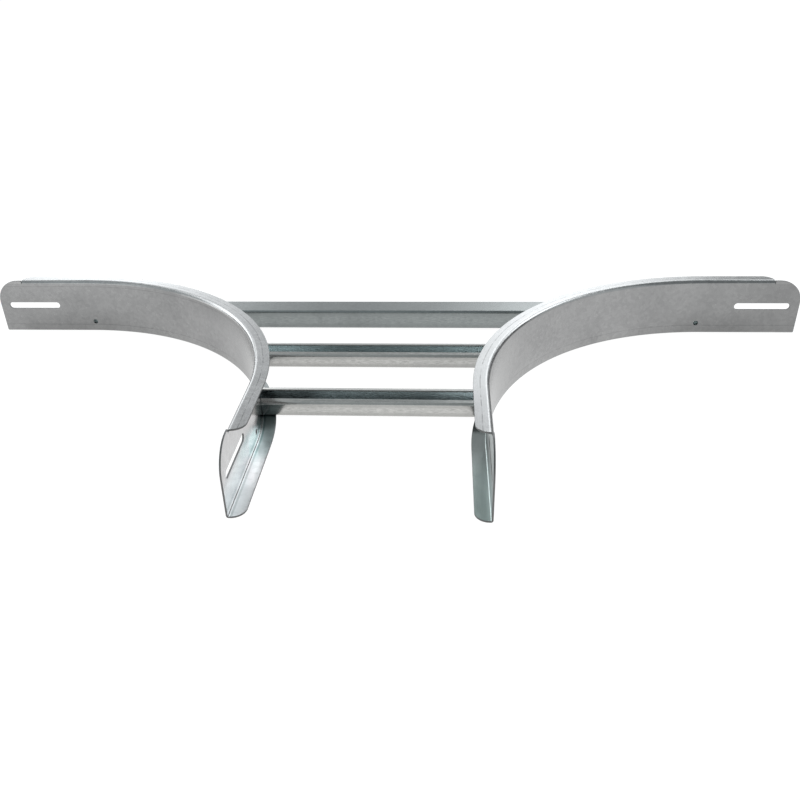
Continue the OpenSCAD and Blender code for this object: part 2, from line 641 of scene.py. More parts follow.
@dataclass(frozen=True)
class ZincFinish:
    """Galvanised steel: cloudy zinc with fine spangle, grain and rolling marks, and painted light
    and shade in its lines and shades.

    Its defaults are the zinc of the rungs' strip.
    """

    name: str
    light: Triple
    dark: Triple
    rough: Point
    spangle: float = 3.0 * MM
    cloud: float = 45 * MM
    bump: float = 0.004 * MM
    streak: float = 0.25
    lines: tuple[RollOrPaintedLine, ...] = ()
    line_wave: float = 0.5 * MM
    line_grain: Point = (150.0, 1300.0)
    shades: tuple[Shade, ...] = ()

    # Weights of the patterns in the tone, and the range of it that goes from dark to light
    TONE_SHIFT = -0.2
    CLOUD_SHARE = 0.9
    FLOWER_SHARE = 0.34
    GRAIN_SHARE = 0.38
    TONE_RANGE = (0.15, 1.0)
    # Weights of the patterns in the relief and the roughness
    FLOWER_RELIEF = 0.6
    GRAIN_RELIEF = 0.4
    ROLLED_RELIEF = 0.5
    RELIEF_RANGE = (0.1, 0.9)
    # Size of the grain beside the spangle, and softness of the spangle's borders
    GRAIN_SIZE = 0.35
    FLOWER_SOFT = 0.25
    # Scales, along and across, of the rolled grain and of the lines' slow drift
    ROLLED_SCALE = (9.0, 900.0)
    DRIFT_SCALE = (40.0, 0.0)
    # Noise below and above which a line is broken and whole
    BREAK_RANGE = (0.38, 0.58)

    @cache
    def material(self) -> bpy.types.Material:
        """Build the node material, once for finishes that are equal.

        Returns:
            The material.
        """
        made = bpy.data.materials.new(self.name)
        pen = emptied(made)
        place = pen.add("ShaderNodeTexCoord").outputs["Object"]
        sheet = pen.add("ShaderNodeAttribute", attribute_name=SHEET).outputs["Vector"]

        cloud = pen.noise(place, 1 / self.cloud, detail=4, rough=0.55)
        grain = pen.noise(place, 1 / (self.GRAIN_SIZE * self.spangle), detail=3, rough=0.6)
        flower = self.flowers(pen, place)
        rolled = pen.stretched_noise(sheet, self.ROLLED_SCALE, rough=0.5)
        tone: Feed = self.TONE_SHIFT
        for pattern, share in ((cloud, self.CLOUD_SHARE), (flower, self.FLOWER_SHARE),
                               (grain, self.GRAIN_SHARE), (rolled, self.streak)):
            tone = pen.math("MULTIPLY_ADD", pattern, share, tone)
        zinc = pen.add("ShaderNodeMix", {
            "Factor": pen.remap(tone, self.TONE_RANGE, (0.0, 1.0)),
            6: (*self.dark, 1), 7: (*self.light, 1)}, data_type="RGBA")
        uneven = flower * self.FLOWER_RELIEF + grain * self.GRAIN_RELIEF
        relief = pen.add("ShaderNodeBump", {
            "Strength": 1.0, "Distance": self.bump,
            "Height": rolled * (self.ROLLED_RELIEF * self.streak) + uneven})

        level, matt = self.shading(pen, place, sheet)
        rough = pen.remap(uneven, self.RELIEF_RANGE, self.rough)
        for least in matt:
            rough = pen.math("MAXIMUM", rough, least)
        shader = pen.add("ShaderNodeBsdfPrincipled", {
            "Base Color": pen.vector_math("MULTIPLY", zinc.outputs[2], level),
            "Metallic": 1.0, "Roughness": rough, "Normal": relief.outputs[0]})
        pen.add("ShaderNodeOutputMaterial", {"Surface": shader.outputs[0]})
        return made

    def flowers(self, pen: NodePen, place: Socket) -> Number:
        """Add the zinc's crystal flowers.

        Args:
            pen: The tree's pen.
            place: Place in the part's frame.

        Returns:
            A tone from 0 to 1 for each flower.
        """
        node = pen.add("ShaderNodeTexVoronoi", {
            "Vector": place, "Scale": 1 / self.spangle, "Smoothness": self.FLOWER_SOFT},
            feature="SMOOTH_F1")
        parts = pen.add("ShaderNodeSeparateColor", {0: node.outputs["Color"]})
        return Number(pen, parts.outputs[0])

    def shading(self, pen: NodePen, place: Socket, sheet: Socket) -> tuple[Feed, list[Number]]:
        """Add the lines and the slow bands of painted light and shade.

        Args:
            pen: The tree's pen.
            place: Place in the part's frame.
            sheet: Place on the flat sheet.

        Returns:
            What the colour is multiplied by, and the least roughness of each matt band.
        """
        along, across, _ = pen.split(sheet)
        runs = {Run.SHEET: along, Run.X: pen.split(place)[0]}
        level: Feed = pen.math("SUBTRACT", 1.0, self.roll_and_painted_lines(pen, sheet, across))
        matt = []
        for shade in self.shades:
            grown = shade.grown(pen, runs[shade.run], across)
            if shade.depth:
                lost = [-shade.depth * part for part in shade.tint]
                level = pen.vector_math("MULTIPLY_ADD", grown, lost, level)
            if shade.rough:
                matt.append(grown * shade.rough)
        return level, matt

    def roll_and_painted_lines(self, pen: NodePen, sheet: Socket, across: Number) -> Feed:
        """Add the darker and lighter lines along the sheet: roll marks, and painted shade and
        highlights in the inner folds.

        Args:
            pen: The tree's pen.
            sheet: Place on the flat sheet.
            across: Place across it.

        Returns:
            The share by which the lines darken it.
        """
        total: Feed = 0.0
        if not self.lines:
            return total
        broken = pen.stretched_noise(sheet, self.line_grain, rough=0.6)
        gaps = pen.remap(broken, self.BREAK_RANGE, (1.0, 0.0), True)
        drift = pen.stretched_noise(sheet, self.DRIFT_SCALE, rough=0.5)
        placed = across + (drift * self.line_wave - self.line_wave / 2)
        for line in self.lines:
            total = line.mark(pen, placed) * (1.0 - gaps * line.breaks) + total
        return total


class FormedSheet(ABC):
    """A piece that is cut flat, formed by a node tree and dressed in zinc.

    Its kind and its place in the tee give the names of the piece and of the solid it replaces.
    """

    kind: str
    slot: str
    where: str

    @abstractmethod
    def outside(self) -> ZincFinish:
        """The finish of the section's outer face."""

    @abstractmethod
    def inside(self) -> ZincFinish:
        """The finish of the section's inner face."""

    @abstractmethod
    def edge(self) -> ZincFinish:
        """The finish of the cut edges."""

    @abstractmethod
    def blank(self, name: str) -> bpy.types.Mesh:
        """Cut the flat blank."""

    @abstractmethod
    def tree(self) -> FormingTree:
        """Build the tree that forms the blank."""

    def dress(self) -> Dress:
        """The materials of the piece."""
        return Dress(self.outside().material(), self.inside().material(), self.edge().material())

    def build(self) -> bpy.types.Object:
        """Cut the blank, form it and dress it.

        Returns:
            The finished piece.
        """
        name = f"{self.kind}_{self.where}"
        piece = self.tree().form(name, self.blank(name))
        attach(piece, BODY)
        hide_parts(f"{self.where}_{self.kind}")
        return piece


@dataclass
class Rail(FormedSheet):
    """A side rail: a C section bent through a quarter turn, with slotted straight ends."""

    side: Side
    branch_w: float = BRANCH_W * MM
    bend_r: float = BEND_R * MM
    straight_l: float = STRAIGHT_L * MM
    height: float = 60 * MM
    flange_w: float = 14 * MM
    sheet_t: float = RAIL_T * MM
    fold_r: float = 3.5 * MM
    foot_r: float = 2.0 * MM
    flange_cut: float = 30 * MM
    relief: float = 0.12 * MM
    web_corner_r: float = 25 * MM
    flange_corner_r: float = 11 * MM
    slot_l: float = 58 * MM
    slot_w: float = 7 * MM
    slot_z: float = 31 * MM
    slot_inset: float = 10 * MM
    hole_d: float = 5 * MM
    hole_z: float = 11.5 * MM
    hole_inset: float = 5.5 * MM
    broken_edge: float = 0.2 * MM
    row_near: float = 0.5 * MM
    crease_share: float = 0.55
    # Height where the painted shades of the upper and lower web meet, and the widths over which
    # they fade in
    shade_z: float = 34 * MM
    low_fade: float = 32 * MM
    high_fade: float = 22 * MM

    kind = "rail"
    slot = "rail_sheet"
    # Steps in which the blank's lines are divided
    FLANGE_STEPS = 3
    FOLD_STEPS = 8
    WEB_STEPS = 9
    END_STEPS = 25
    BEND_STEPS = 90
    CREST_STEPS = 4
    WEB_CORNER_STEPS = 16
    FLANGE_CORNER_STEPS = 10
    WEB_END_STEPS = 6
    SLOT_STEPS = 10
    SLOT_END_STEPS = 12
    HOLE_STEPS = 24
    # Scales, along and across, of the breaks in the rolling lines
    LINE_GRAIN = (160.0, 60.0)

    def __post_init__(self) -> None:
        """Work out the blank's length and the places of its folds and bands."""
        self.bend_l = (self.bend_r + self.sheet_t / 2) * QUARTER
        self.length = 2 * self.straight_l + self.bend_l
        spans = [0.0, self.flange_w - self.fold_r, (self.fold_r - self.sheet_t / 2) * QUARTER,
                 self.height - self.fold_r - self.foot_r,
                 (self.foot_r - self.sheet_t / 2) * QUARTER, self.flange_w - self.foot_r]
        self.folds = list(accumulate(spans))
        self.top_flange = (-WIDE, self.folds[1])
        self.web = (self.folds[2], self.folds[3])
        self.bottom_flange = (self.folds[4], WIDE)
        self.crease = self.folds[1] * self.crease_share
        self.foot = (self.folds[3] + self.folds[4]) / 2

    @property
    def where(self) -> str:
        """Word for the rail's side."""
        return self.side.name.lower()

    def level(self, height: float) -> float:
        """Place across the blank of a height on the web."""
        return self.folds[2] + self.height - self.fold_r - height

    def rows(self) -> list[float]:
        """Places across the blank where its faces are divided.

        Returns:
            The places, from the top flange's edge to the bottom one's.
        """
        _, a, b, c, d, e = self.folds
        near = self.row_near
        return [*spread(0, a, self.FLANGE_STEPS)[1:-1], a - near,
                *spread(a, b, self.FOLD_STEPS), b + near, *spread(b, c, self.WEB_STEPS)[1:-1],
                c - near, *spread(c, d, self.FOLD_STEPS), d + near,
                *spread(d, e, self.FLANGE_STEPS)[1:-1]]

    def stations(self) -> list[float]:
        """Places along the blank where its faces are divided.

        Returns:
            The places, from the branch end to the tip.
        """
        end = spread(0, self.straight_l, self.END_STEPS)[1:]
        bend = spread(self.straight_l, self.straight_l + self.bend_l, self.BEND_STEPS)[1:]
        return [*end, *bend, *[self.length - x for x in reversed(end[:-1])]]

    def end_line(self) -> list[Point]:
        """Draw the blank's outline at one end.

        Returns:
            Its points, from the top flange's edge to the bottom flange's.
        """
        _, a, b, c, d, e = self.folds
        cut, tab = self.flange_cut, self.flange_cut - self.relief
        radius, web_r = self.flange_corner_r, self.web_corner_r
        reach = math.degrees(math.asin(max(0.0, (radius - a) / radius)))
        top = arc((cut + radius, radius), radius, 270, 180 + reach, self.FLANGE_CORNER_STEPS)
        crest = b - self.fold_r
        corner = arc((web_r, crest + web_r), web_r, 270, 180, self.WEB_CORNER_STEPS)
        foot = arc((radius, e - radius), radius, 180, 90, self.FLANGE_CORNER_STEPS)
        return [*top, *[(cut, y) for y in spread(a, b, self.FOLD_STEPS)[1:]],
                *[(tab, y) for y in spread(b, crest, self.CREST_STEPS)],
                (0.5 * (tab + web_r), crest), *corner,
                *[(0.0, y) for y in spread(corner[-1][1], c, self.WEB_END_STEPS)[1:]],
                *[(0.0, y) for y in spread(c, d, self.FOLD_STEPS)[1:]], *foot]

    def outline(self) -> list[Point]:
        """Draw the blank's whole outline.

        Returns:
            Its points, counter-clockwise.
        """
        end = self.end_line()
        far = [(self.length - x, y) for x, y in reversed(end)]
        low = [(x, self.folds[5]) for x in self.stations() if end[-1][0] < x < far[0][0]]
        high = [(x, 0.0) for x in reversed(self.stations()) if end[0][0] < x < far[-1][0]]
        return self.turned([*end, *low, *far, *high], True)

    @staticmethod
    def turned(loop: list[Point], counter_clockwise: bool) -> list[Point]:
        """The loop, turned to run counter-clockwise or clockwise."""
        area = sum(a[0] * b[1] - b[0] * a[1] for a, b in zip(loop, [*loop[1:], loop[0]]))
        return loop if (area > 0) == counter_clockwise else loop[::-1]

    def holes(self) -> list[list[Point]]:
        """Draw the slots and small holes of both ends.

        Returns:
            Their loops, clockwise.
        """
        half = self.slot_w / 2
        level = self.level(self.slot_z)
        first, last = self.slot_inset + half, self.slot_inset + self.slot_l - half
        slot = [*arc((first, level), half, 90, 270, self.SLOT_END_STEPS),
                *[(x, level - half) for x in spread(first, last, self.SLOT_STEPS)[1:-1]],
                *arc((last, level), half, -90, 90, self.SLOT_END_STEPS),
                *[(x, level + half) for x in spread(last, first, self.SLOT_STEPS)[1:-1]]]
        middle = (self.straight_l + self.hole_inset, self.level(self.hole_z))
        hole = arc(middle, self.hole_d / 2, 0, 360, self.HOLE_STEPS)[:-1]
        found = []
        for loop in (slot, hole):
            found.append(self.turned(loop, False))
            found.append(self.turned([(self.length - x, y) for x, y in loop], False))
        return found

    def blank(self, name: str) -> bpy.types.Mesh:
        """Cut the flat blank."""
        return FlatBlank(name, self.sheet_t, self.broken_edge).mesh(
            self.outline(), self.holes(), self.stations(), self.rows())

    def tree(self) -> FormingTree:
        """Build the tree that folds the blank to its section and bends it along its path.

        Returns:
            The tree, with its sizes set.
        """
        tree = FormingTree(f"form_rail_{self.where}", {
            "Side": float(-self.side.value), "Branch width": self.branch_w,
            "Bend radius": self.bend_r, "Straight length": self.straight_l,
            "Rail height": self.height, "Flange width": self.flange_w,
            "Sheet thickness": self.sheet_t, "Fold radius": self.fold_r,
            "Foot radius": self.foot_r, "Flange cut": self.flange_cut, "Depth": DEPTH})
        half = tree.size("Sheet thickness") * 0.5
        reach, top = tree.size("Flange width") - half, tree.size("Rail height") - half
        turn_r, foot_r = tree.size("Fold radius") - half, tree.size("Foot radius") - half
        section = tree.polyline([(reach, top), (0.0, top), (0.0, half), (reach, half)],
                                [0.0, turn_r, foot_r, 0.0], tree.FOLD_STEPS)
        # At the ends the web runs straight up, to where the blank's edge would lie
        lead = turn_r * QUARTER + (tree.size("Flange width") - tree.size("Fold radius"))
        crest = tree.size("Rail height") - tree.size("Fold radius") + lead
        plain = tree.polyline([(0.0, crest), (0.0, half), (reach, half)], [0.0, foot_r, 0.0],
                              tree.FOLD_STEPS)
        bend_r = tree.size("Bend radius") + half
        corner_y = tree.size("Straight length") + bend_r
        web_x = half - tree.size("Branch width") * 0.5
        path = tree.polyline([(web_x, 0.0), (web_x, corner_y), (web_x - corner_y, corner_y)],
                             [0.0, bend_r, 0.0], tree.BEND_STEPS)

        length = bend_r * QUARTER + tree.size("Straight length") * 2.0
        from_end = tree.math("MINIMUM", tree.along, length - tree.along)
        is_end = tree.math("LESS_THAN", from_end, tree.size("Flange cut") - self.relief / 2)
        out, up = ((straight - folded) * is_end + folded
                   for folded, straight in zip(tree.fold(section), tree.fold(plain)))
        spot, way = tree.sample(path, tree.along)
        x, y, _ = tree.split(spot)
        way_x, way_y, _ = tree.split(way)
        x = (out * way_y + x) * tree.size("Side")
        y = y - out * way_x - tree.size("Depth") * 0.5
        flip = tree.math("LESS_THAN", tree.size("Side"), 0.0)
        tree.close(tree.vector(x, y, up), flip, self.dress())
        return tree

    def low(self, run: Run, span: Point, depth: float) -> Shade:
        """A painted shade, painted light for a depth below 0, that deepens down the lower part of
        the web.
        """
        return Shade(run, span, (self.level(self.shade_z), WIDE), depth,
                     feather=(self.low_fade, 0.0))

    def high(self, span: Point, depth: float) -> Shade:
        """A painted shade along the sheet, painted light for a depth below 0, that deepens up the
        upper part of the web.
        """
        return Shade(Run.SHEET, span, (self.folds[2], self.level(self.shade_z)), depth,
                     feather=(0.0, self.high_fade))

    def outer_zinc(self) -> ZincFinish:
        """The plain zinc of a rail's outer face, with the broken line along its top flange."""
        return ZincFinish(
            f"{self.where}_outer_zinc", light=(0.335, 0.336, 0.335), dark=(0.235, 0.236, 0.237),
            rough=(0.20, 0.28), spangle=3.2 * MM, cloud=50 * MM, bump=0.003 * MM, streak=0.05,
            lines=(RollOrPaintedLine(self.crease, half=0.6 * MM, depth=0.42, breaks=0.9),),
            line_wave=0.8 * MM, line_grain=self.LINE_GRAIN)

    def inner_zinc(self, light: Triple, dark: Triple, cloud: float) -> ZincFinish:
        """The plain zinc of a rail's inner face, in its two tones and size of cloud."""
        return ZincFinish(
            f"{self.where}_inner_zinc", light, dark, rough=(0.14, 0.20), spangle=5.0 * MM,
            cloud=cloud, bump=0.002 * MM, streak=0.05, line_wave=0.2 * MM,
            line_grain=self.LINE_GRAIN)

    def edge(self) -> ZincFinish:
        """The dark sheared edge, which both rails share."""
        return ZincFinish("sheared_edge", light=(0.20, 0.20, 0.20), dark=(0.10, 0.10, 0.10),
                          rough=(0.4, 0.55), spangle=1.2 * MM, cloud=20 * MM, bump=0.02 * MM,
                          streak=0.1)


@dataclass
class LeftRail(Rail):
    """The left rail, whose near end shows its bright inner face."""

    side: Side = Side.LEFT
    high_line_z: float = 53.3 * MM
    low_line_z: float = 8.0 * MM
    # Rims of the painted highlights around the crest and in the fold of the top bend
    crest_rim: Point = (1.1 * MM, 0.3 * MM)
    fold_rim: float = 1.4 * MM
    # Heights and fades of the inner face's painted light and shade: painted shade on the upper
    # web, a painted shadow on the lower web beside the front rung, cool painted light and a
    # painted glint low on the web, and painted shade at the root of the bottom flange
    dim_z: float = 23 * MM
    dim_fade: float = 3 * MM
    cool_z: float = 22 * MM
    glint_z: float = 24 * MM
    glint_fade: Point = (8 * MM, 1 * MM)
    root_w: float = 9 * MM
    root_fade: float = 6 * MM

    def outside(self) -> ZincFinish:
        """Dress the outer face: a painted highlight on the crest in the bend, and painted shade
        that dims the web down the tip.

        Returns:
            The finish.
        """
        plain, top = self.outer_zinc(), self.folds[2]
        fold = (self.folds[1] + self.fold_rim, top)
        crest = (top - self.crest_rim[0], top + self.crest_rim[1])
        return replace(
            plain,
            lines=(*plain.lines, RollOrPaintedLine(self.level(self.high_line_z), 0.6 * MM, 0.2, 0.4),
                   RollOrPaintedLine(self.level(self.low_line_z), 0.45 * MM, 0.25, 0.4)),
            # Painted highlights on the crest and in the fold, and painted shade and light that
            # grade the web from top to bottom along the tip
            shades=(Shade(Run.SHEET, (0.38, 0.28), crest, -1.0),
                    Shade(Run.SHEET, (0.37, 0.46), fold, -0.5),
                    Shade(Run.SHEET, (0.49, 0.56), fold, 0.22),
                    self.low(Run.SHEET, (0.37, 0.48), 0.21),
                    self.low(Run.SHEET, (0.545, 0.565), -0.2),
                    self.high((0.37, 0.48), -0.11), self.high((0.36, 0.28), 0.12)))

    def inside(self) -> ZincFinish:
        """Dress the inner face: a painted highlight on the foot by the branch end, painted shade
        by the front rung, and matt flanges.

        Returns:
            The finish.
        """
        low_web = (self.level(self.dim_z), self.folds[3])
        cool_web = (self.level(self.cool_z), self.folds[3])
        glint = (self.level(self.glint_z), self.folds[3])
        root = (self.folds[4], self.folds[4] + self.root_w)
        cool, warm = (0.4, 1.5, 1.5), (1.5, 0.46, 0.5)
        return replace(
            # Lighter, more neutral tones than the right rail's inner zinc: the same zinc, with
            # painted light
            self.inner_zinc((0.641, 0.634, 0.636), (0.453, 0.448, 0.449), 22 * MM),
            # Painted shade in the inner fold, a painted highlight beside it, and fainter painted
            # shade past that
            lines=(RollOrPaintedLine(self.foot, 1.0 * MM, 0.72, 0.1),
                   RollOrPaintedLine(self.foot + 1.5 * MM, 0.6 * MM, -0.2, 0.1),
                   RollOrPaintedLine(self.foot + 2.7 * MM, 1.4 * MM, 0.3, 0.1)),
            # Painted light and shade: cool painted light on the bottom flange, painted shade on it
            # from near the front rung onward and at its root near the branch end, a painted shadow
            # on the lower web beside the front rung's end, a painted glint low on the web by the
            # branch end, cool painted light on the lower web, and painted shade on the upper web;
            # both flanges are also made matt
            shades=(Shade(Run.SHEET, EVERYWHERE, self.top_flange, rough=0.42),
                    Shade(Run.SHEET, EVERYWHERE, self.bottom_flange, -0.04, 0.30, tint=cool),
                    Shade(Run.SHEET, (0.07, 0.115), self.bottom_flange, 0.35),
                    *stretch((0.07, 0.088), (0.15, 0.18), self.bottom_flange, 0.07, tint=warm),
                    *stretch((0.045, 0.06), (0.092, 0.104), root, 0.15,
                             feather=(0.0, self.root_fade)),
                    *stretch((0.116, 0.138), (0.165, 0.20), low_web, 0.65),
                    *stretch((0.05, 0.092), (0.103, 0.116), glint, -1.0,
                             feather=self.glint_fade, tint=(1.22, 0.95, 0.97)),
                    Shade(Run.SHEET, EVERYWHERE, cool_web, -0.05,
                          feather=(self.glint_fade[0], 0.0), tint=(0.4, 1.0, 1.3)),
                    Shade(Run.SHEET, EVERYWHERE, (-WIDE, low_web[0]), 0.12,
                          feather=(0.0, self.dim_fade))))


@dataclass
class RightRail(Rail):
    """The right rail, whose near end shows little more than its bottom flange."""

    side: Side = Side.RIGHT
    low_line_z: float = 9.0 * MM

    def outside(self) -> ZincFinish:
        """Dress the outer face: painted light that makes the web lightest in the bend, and painted
        shade that dims it along the tip.

        Returns:
            The finish.
        """
        plain = self.outer_zinc()
        return replace(
            plain,
            lines=(*plain.lines, RollOrPaintedLine(self.level(self.low_line_z), 0.45 * MM, 0.22, 0.5)),
            # Painted light and shade that grade the web along X and from top to bottom, and
            # painted shade on the top flange at the tip
            shades=(Shade(Run.X, (0.28, 0.44), self.web, 0.14),
                    Shade(Run.X, (0.30, 0.25), self.web, -0.10),
                    self.low(Run.X, (0.23, 0.16), -0.12),
                    self.low(Run.SHEET, (0.41, 0.47), 0.19),
                    self.low(Run.SHEET, (0.50, 0.54), -0.08),
                    Shade(Run.SHEET, (0.46, 0.51), self.top_flange, 0.22),
                    self.high((0.41, 0.45), -0.06), self.high((0.49, 0.53), 0.05)))

    def inside(self) -> ZincFinish:
        """Dress the inner face: cool and matt, with painted light on the top flange's underside
        and on the bottom flange by the branch end, painted shade on the web, and painted shade
        that dims the bottom flange at the bend.

        Returns:
            The finish.
        """
        return replace(
            # Darker, cooler tones than the left rail's inner zinc: the same zinc, with painted
            # shade
            self.inner_zinc((0.515, 0.575, 0.565), (0.447, 0.499, 0.49), 60 * MM),
            # A painted highlight along the inner fold
            lines=(RollOrPaintedLine(self.foot + 0.3 * MM, 1.5 * MM, -0.4, 0.1),),
            shades=(Shade(Run.SHEET, EVERYWHERE, self.top_flange, -0.4, 0.42),
                    Shade(Run.SHEET, EVERYWHERE, self.web, 0.3, 0.3),
                    Shade(Run.SHEET, EVERYWHERE, self.bottom_flange, rough=0.24),
                    Shade(Run.SHEET, (0.06, 0.0), self.bottom_flange, -0.2),
                    *stretch((0.03, 0.11), (0.165, 0.195), self.bottom_flange, 0.8)))


@dataclass
class Rung(FormedSheet):
    """A roll-formed rung with a slot between two lips, coped to the rails or cut square."""

    where: str
    near_y: float
    open_side: OpenSide = OpenSide.UP
    coped: bool = True
    width: float = RUNG_W * MM
    height: float = 15 * MM
    lip: float = 6.5 * MM
    lip_rise: float = 0.8 * MM
    sheet_t: float = 1.5 * MM
    corner_r: float = 2.5 * MM
    base_z: float = RAIL_T * MM
    seat_r: float = (BEND_R + RAIL_T + SEAT_GAP) * MM
    bend_x: float = BEND_X * MM
    bend_y: float = STRAIGHT_L * MM
    half_l: float = (BEND_X + REAR_REACH) * MM
    broken_edge: float = 0.15 * MM
    row_near: float = 0.4 * MM
    row_clear: float = 0.3 * MM
    row_pitch: float = 4 * MM
    station_pitch: float = 12 * MM

    kind = "rung"
    slot = "rung_strip"
    CORNER_STEPS = 6
    LEAST_ROWS = 2
    LEAST_STATIONS = 8
    # Digits to which the rows are rounded before doubles are left out
    ROW_DIGITS = 7

    def __post_init__(self) -> None:
        """Work out the places of the folds and bands across the strip, and its length."""
        run = self.lip - self.sheet_t / 2
        tilt = math.atan2(self.lip_rise, run)
        radius = self.corner_r - self.sheet_t / 2
        cut = radius * math.tan(math.pi / 4 - tilt / 2)
        wall = self.height - self.sheet_t - self.lip_rise - cut - radius
        side = [math.hypot(run, self.lip_rise) - cut, radius * (QUARTER - tilt), wall,
                radius * QUARTER]
        spans = [0.0, *side, self.width - self.sheet_t - 2 * radius, *reversed(side)]
        self.folds = list(accumulate(spans))
        self.near_lip = (-WIDE, self.folds[1])
        self.near_wall, self.closed_side, self.far_wall = (
            (self.folds[i], self.folds[i + 1]) for i in (2, 4, 6))
        if self.coped:
            depth = self.near_y - self.bend_y
            self.half_l = self.bend_x - math.sqrt(self.seat_r ** 2 - depth ** 2)

    def rows(self) -> list[float]:
        """Places across the strip where its faces are divided.

        Returns:
            The places, in order.
        """
        found: list[float] = []
        first, last = self.row_clear, self.folds[-1] - self.row_clear
        for i, (low, high) in enumerate(zip(self.folds, self.folds[1:])):
            if i % 2:
                steps = spread(low, high, self.CORNER_STEPS)
            else:
                count = max(self.LEAST_ROWS, round((high - low) / self.row_pitch))
                steps = [low + self.row_near, *spread(low, high, count)[1:-1],
                         high - self.row_near]
            found += [x for x in steps if first < x < last]
        return sorted(set(round(x, self.ROW_DIGITS) for x in found))

    def stations(self) -> list[float]:
        """Places along the strip where its faces are divided, both ends included."""
        steps = max(self.LEAST_STATIONS, round(2 * self.half_l / self.station_pitch))
        return spread(-self.half_l, self.half_l, steps)

    def outline(self) -> list[Point]:
        """Draw the flat strip's outline.

        Returns:
            Its points, counter-clockwise.
        """
        width, half = self.folds[-1], self.half_l
        stations, rows = self.stations(), self.rows()
        back = spread(half, -half, len(stations) - 1)
        return [*[(x, 0.0) for x in stations], *[(half, y) for y in rows],
                *[(x, width) for x in back], *[(-half, y) for y in reversed(rows)]]

    def blank(self, name: str) -> bpy.types.Mesh:
        """Cut the flat strip."""
        return FlatBlank(name, self.sheet_t, self.broken_edge).mesh(
            self.outline(), [], self.stations()[1:-1], self.rows())

    def tree(self) -> FormingTree:
        """Build the tree that rolls the strip to its section and copes its ends.

        Returns:
            The tree, with its sizes set.
        """
        tree = FormingTree(f"form_rung_{self.where}", {
            "Coped": float(self.coped), "Half length": self.half_l, "Rung width": self.width,
            "Rung height": self.height, "Lip width": self.lip, "Lip rise": self.lip_rise,
            "Sheet thickness": self.sheet_t, "Corner radius": self.corner_r,
            "Seat radius": self.seat_r,
            "Bend middle X": self.bend_x, "Bend middle Y": self.bend_y,
            "Near face Y": self.near_y, "Base Z": self.base_z,
            "Open side": float(self.open_side.value), "Depth": DEPTH})
        half, half_l = tree.size("Sheet thickness") * 0.5, tree.size("Half length")
        far, top = tree.size("Rung width") - half, tree.size("Rung height") - half
        lip_near = tree.size("Lip width")
        lip_far = tree.size("Rung width") - lip_near
        eaves = top - tree.size("Lip rise")
        corners = [(lip_near, top), (half, eaves), (half, half), (far, half), (far, eaves),
                   (lip_far, top)]
        radius = tree.size("Corner radius") - half
        section = tree.polyline(corners, [radius] * len(corners), tree.FOLD_STEPS)
        out, up = tree.fold(section)
        y = out + tree.size("Near face Y")
        # Each end follows the circle on which the rungs seat, around the middle of the bend
        seat_r, off = tree.size("Seat radius"), y - tree.size("Bend middle Y")
        square = tree.math("MAXIMUM", seat_r * seat_r - off * off, 0.0)
        cope = tree.size("Bend middle X") - tree.math("SQRT", square)
        x = tree.along / half_l * ((cope - half_l) * tree.size("Coped") + half_l)
        y = y - tree.size("Depth") * 0.5
        middle = tree.size("Rung height") * 0.5
        z = (up - middle) * tree.size("Open side") + middle + tree.size("Base Z")
        flip = tree.math("LESS_THAN", tree.size("Open side"), 0.0)
        tree.close(tree.vector(x, y, z), flip, self.dress())
        return tree

    def outer_zinc(self, light: Triple, dark: Triple) -> ZincFinish:
        """The streaked zinc of a near rung's outer face, in its two tones."""
        return ZincFinish(f"{self.where}_outer_zinc", light, dark, rough=(0.18, 0.26), lines=tuple(
            # A lighter, broken band along the middle of each wall
            RollOrPaintedLine(sum(wall) / 2, half=4.0 * MM, depth=-0.3, breaks=0.9)
            for wall in (self.near_wall, self.far_wall)))

    def inner_zinc(self, light: Triple, dark: Triple) -> ZincFinish:
        """The smooth zinc of a near rung's inner face, in its two tones."""
        return ZincFinish(f"{self.where}_inner_zinc", light, dark, rough=(0.16, 0.22),
                          bump=0.0004 * MM, streak=0.03)

    def edge(self) -> ZincFinish:
        """The matt cut edge that the two near rungs share."""
        return ZincFinish("rung_edge", light=(0.45, 0.449, 0.435), dark=(0.35, 0.352, 0.342),
                          rough=(0.5, 0.6))


@dataclass
class FrontRung(Rung):
    """The short rung nearest to the branch end."""

    where: str = "front"
    near_y: float = (REAR_Y - 2 * RUNG_PITCH) * MM
    # Width at the near lip's slot edge that its painted shade and light leave out
    lip_rim: float = 1.0 * MM

    def outside(self) -> ZincFinish:
        """Dress the outer face: streaked walls, and painted shade and light that make the near lip
        lighten to the right.

        Returns:
            The finish.
        """
        lip = (self.lip_rim, self.folds[1])
        return replace(self.outer_zinc((0.45, 0.449, 0.435), (0.35, 0.352, 0.342)), shades=(
            Shade(Run.X, (0.06, 0.03), lip, 0.22), Shade(Run.X, (0.06, 0.09), lip, -0.3)))

    def inside(self) -> ZincFinish:
        """Dress the inner face, with painted shade and light that make it darkest at its left end
        and lightest at its right.

        Returns:
            The finish.
        """
        whole = (-WIDE, WIDE)
        return replace(self.inner_zinc((0.454, 0.486, 0.489), (0.428, 0.459, 0.462)), shades=(
            Shade(Run.X, (0.04, -0.03), whole, -0.14),
            Shade(Run.X, (-0.052, -0.068), whole, 0.27),
            Shade(Run.X, (0.045, 0.085), whole, -0.26)))


